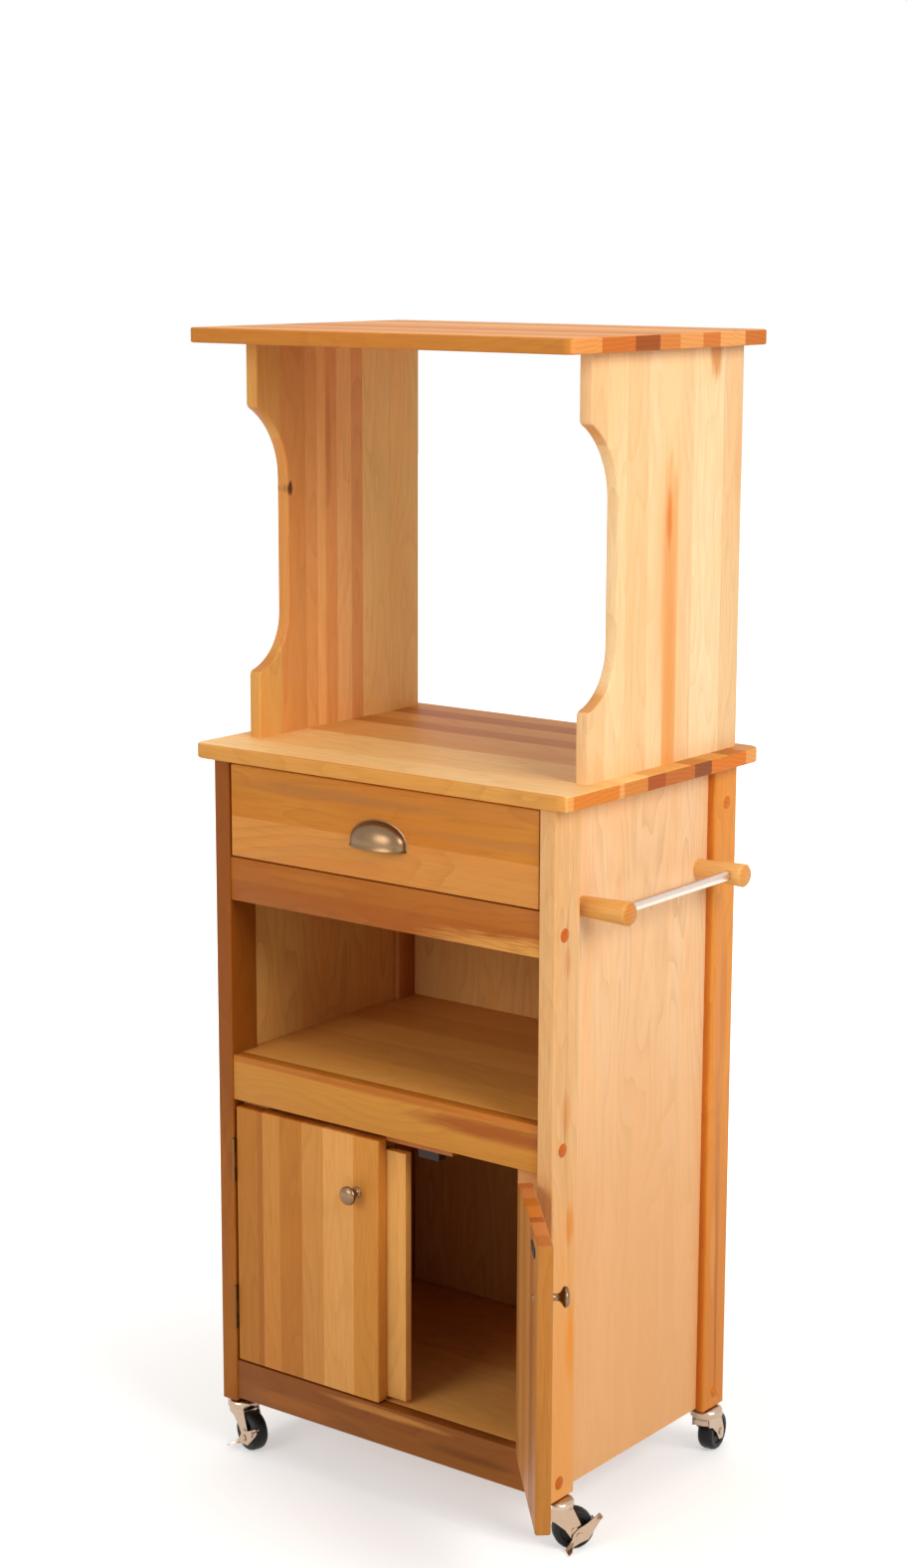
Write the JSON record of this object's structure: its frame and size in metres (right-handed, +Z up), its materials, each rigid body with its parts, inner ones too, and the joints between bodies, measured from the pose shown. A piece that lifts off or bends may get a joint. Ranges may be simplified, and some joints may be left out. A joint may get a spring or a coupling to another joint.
{
  "type": "kitchen cart",
  "caption": "Upright hardwood kitchen cart on casters with an open hutch, drawer, open bay, two-door cupboard and a towel rod.",
  "frame": {"origin": "floor point under the middle of the drawn pose's bounding box, the right door standing open; the cart's own middle lies 49 mm towards -X and 82 mm towards +Y", "axes": "+X to the cart's right as seen from the front, +Y from front to back, +Z up from the floor"},
  "size_m": [0.6949, 0.6123, 1.5064],
  "materials": {
    "pale_hardwood": "satin clear varnish",
    "honey_hardwood": "satin clear varnish",
    "red_brown_hardwood": "satin clear varnish",
    "pale_panel": "satin clear varnish",
    "plain_wood": "clear sealer",
    "satin_nickel": "satin nickel",
    "bright_zinc": "bright zinc plate",
    "black_wheel": "smooth black",
    "dark_catch": "matte dark brown"
  },
  "bodies": {
    "cart": {"hutch_shelf": "pale_hardwood", "hutch_side_left": "pale_panel", "hutch_side_right": "pale_panel", "hutch_dowels": "plain_wood", "cart_top": "pale_hardwood", "leg_front_left": "red_brown_hardwood", "leg_front_right": "pale_hardwood", "leg_rear_left": "honey_hardwood", "leg_rear_right": "honey_hardwood", "side_panel_left": "pale_panel", "side_panel_right": "pale_panel", "back_panel": "plain_wood", "drawer_rail": "red_brown_hardwood", "shelf_rail": "honey_hardwood", "bottom_rail": "red_brown_hardwood", "rear_rails": "honey_hardwood", "middle_shelf": "pale_hardwood", "bottom_shelf": "pale_hardwood", "drawer_runners": "plain_wood", "hinge_frame_leaves_left": "bright_zinc", "hinge_frame_leaves_right": "bright_zinc", "hinge_cleat_left": "honey_hardwood", "hinge_cleat_right": "honey_hardwood", "catch_cleat": "honey_hardwood", "magnetic_catch": "dark_catch", "towel_peg_front": "plain_wood", "towel_peg_rear": "plain_wood", "towel_rod": "satin_nickel", "screw_buttons": "red_brown_hardwood", "caster_stems": "bright_zinc"},
    "drawer": {"drawer_front": "honey_hardwood", "drawer_side_left": "plain_wood", "drawer_side_right": "plain_wood", "drawer_back": "plain_wood", "drawer_bottom": "plain_wood", "cup_pull": "satin_nickel", "cup_pull_screws": "bright_zinc"},
    "left_door": {"door_left": "honey_hardwood", "astragal": "pale_hardwood", "knob_left": "satin_nickel", "hinge_door_leaves_left": "bright_zinc"},
    "right_door": {"door_right": "pale_hardwood", "knob_right": "satin_nickel", "hinge_door_leaves_right": "bright_zinc", "strike_plate": "dark_catch"},
    "fork_fl": {"caster_fork_fl": "bright_zinc", "caster_axle_fl": "bright_zinc"},
    "wheel_fl": {"caster_wheel_fl": "black_wheel"},
    "fork_fr": {"caster_fork_fr": "bright_zinc", "caster_axle_fr": "bright_zinc"},
    "wheel_fr": {"caster_wheel_fr": "black_wheel"},
    "fork_rl": {"caster_fork_rl": "bright_zinc", "caster_axle_rl": "bright_zinc"},
    "wheel_rl": {"caster_wheel_rl": "black_wheel"},
    "fork_rr": {"caster_fork_rr": "bright_zinc", "caster_axle_rr": "bright_zinc"},
    "wheel_rr": {"caster_wheel_rr": "black_wheel"},
    "brake_fl": {"brake_lever_fl": "bright_zinc"},
    "brake_fr": {"brake_lever_fr": "bright_zinc"}
  },
  "joints": [
    {"name": "drawer_slide", "type": "slide", "parent": "cart", "child": "drawer", "axis": [0, -1, 0], "range_m": [0, 0.28]},
    {"name": "left_door_hinge", "type": "hinge", "parent": "cart", "child": "left_door", "pos_m": [-0.296, -0.121, 0.31025], "axis": [0, 0, -1], "range_deg": [0, 165]},
    {"name": "right_door_hinge", "type": "hinge", "parent": "cart", "child": "right_door", "pos_m": [0.198, -0.121, 0.31025], "axis": [0, 0, 1], "range_deg": [-132, 33]},
    {"name": "swivel_fl", "type": "hinge", "parent": "cart", "child": "fork_fl", "pos_m": [-0.3095, -0.0945, 0.064], "axis": [0, 0, 1], "continuous": true},
    {"name": "wheel_spin_fl", "type": "hinge", "parent": "fork_fl", "child": "wheel_fl", "pos_m": [-0.28572, -0.10222, 0.0265], "axis": [0.309, 0.9511, 0], "continuous": true},
    {"name": "brake_press_fl", "type": "hinge", "parent": "fork_fl", "child": "brake_fl", "pos_m": [-0.28049, -0.10393, 0.021], "axis": [0.309, 0.9511, 0], "range_deg": [-12, 0]},
    {"name": "swivel_fr", "type": "hinge", "parent": "cart", "child": "fork_fr", "pos_m": [0.2115, -0.0945, 0.064], "axis": [0, 0, 1], "continuous": true},
    {"name": "wheel_spin_fr", "type": "hinge", "parent": "fork_fr", "child": "wheel_fr", "pos_m": [0.22757, -0.07535, 0.0265], "axis": [-0.766, 0.6428, 0], "continuous": true},
    {"name": "brake_press_fr", "type": "hinge", "parent": "fork_fr", "child": "brake_fr", "pos_m": [0.23111, -0.07114, 0.021], "axis": [-0.766, 0.6428, 0], "range_deg": [0, 12]},
    {"name": "swivel_rl", "type": "hinge", "parent": "cart", "child": "fork_rl", "pos_m": [-0.3095, 0.2585, 0.064], "axis": [0, 0, 1], "continuous": true},
    {"name": "wheel_spin_rl", "type": "hinge", "parent": "fork_rl", "child": "wheel_rl", "pos_m": [-0.28684, 0.24793, 0.0265], "axis": [0.4226, 0.9063, 0], "continuous": true},
    {"name": "swivel_rr", "type": "hinge", "parent": "cart", "child": "fork_rr", "pos_m": [0.2115, 0.2585, 0.064], "axis": [0, 0, 1], "continuous": true},
    {"name": "wheel_spin_rr", "type": "hinge", "parent": "fork_rr", "child": "wheel_rr", "pos_m": [0.20802, 0.28326, 0.0265], "axis": [-0.9903, -0.1392, 0], "continuous": true}
  ]
}
